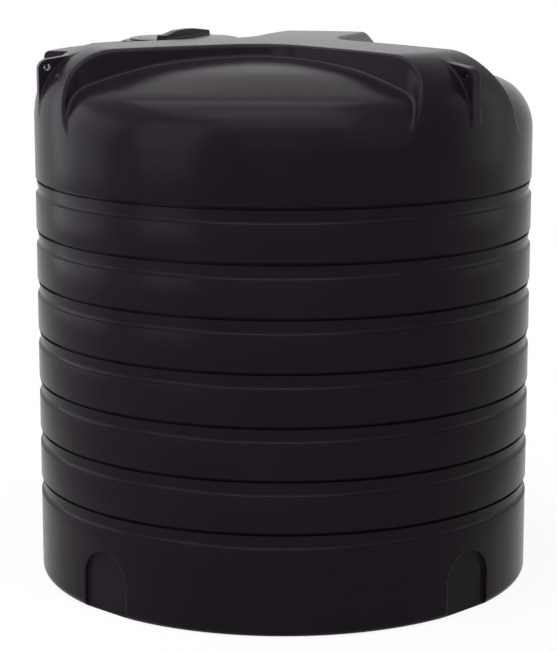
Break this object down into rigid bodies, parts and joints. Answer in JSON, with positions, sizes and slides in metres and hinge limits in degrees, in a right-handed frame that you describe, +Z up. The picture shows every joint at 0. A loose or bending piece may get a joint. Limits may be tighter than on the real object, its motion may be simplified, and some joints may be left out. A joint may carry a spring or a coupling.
{
  "type": "rainwater tank",
  "caption": "Upright round moulded water tank with ringed wall, three-armed crown, lifting lugs, offset screw lid and a threaded outlet at its foot.",
  "frame": {"origin": "centre of the tank's flat base, on the surface that it stands on", "axes": "+Z up along the tank's axis, +Y towards the side with the manhole and the outlet, +X completes the right-handed frame"},
  "size_m": [1.55, 1.55, 1.6966],
  "materials": {
    "tank_plastic": "satin black rotomoulded polyethylene with a faint orange-peel skin",
    "lid_plastic": "satin black moulded polyethylene, a little smoother than the tank",
    "rubber": "dull black rubber",
    "brass": "machined brass, slightly dulled"
  },
  "bodies": {
    "tank": {"tank_shell": "tank_plastic", "outlet_bush": "brass", "outlet_seal": "rubber", "outlet_nut": "brass"},
    "gasket": {"lid_gasket": "rubber"},
    "lid": {"manhole_lid": "lid_plastic"}
  },
  "joints": [
    {"name": "lid_lift", "type": "slide", "parent": "tank", "child": "gasket", "axis": [0, 0, 1], "range_m": [0, 0.2]},
    {"name": "lid_turn", "type": "hinge", "parent": "gasket", "child": "lid", "pos_m": [0, 0.45, 1.65], "axis": [0, 0, 1], "range_deg": [0, 540]}
  ]
}
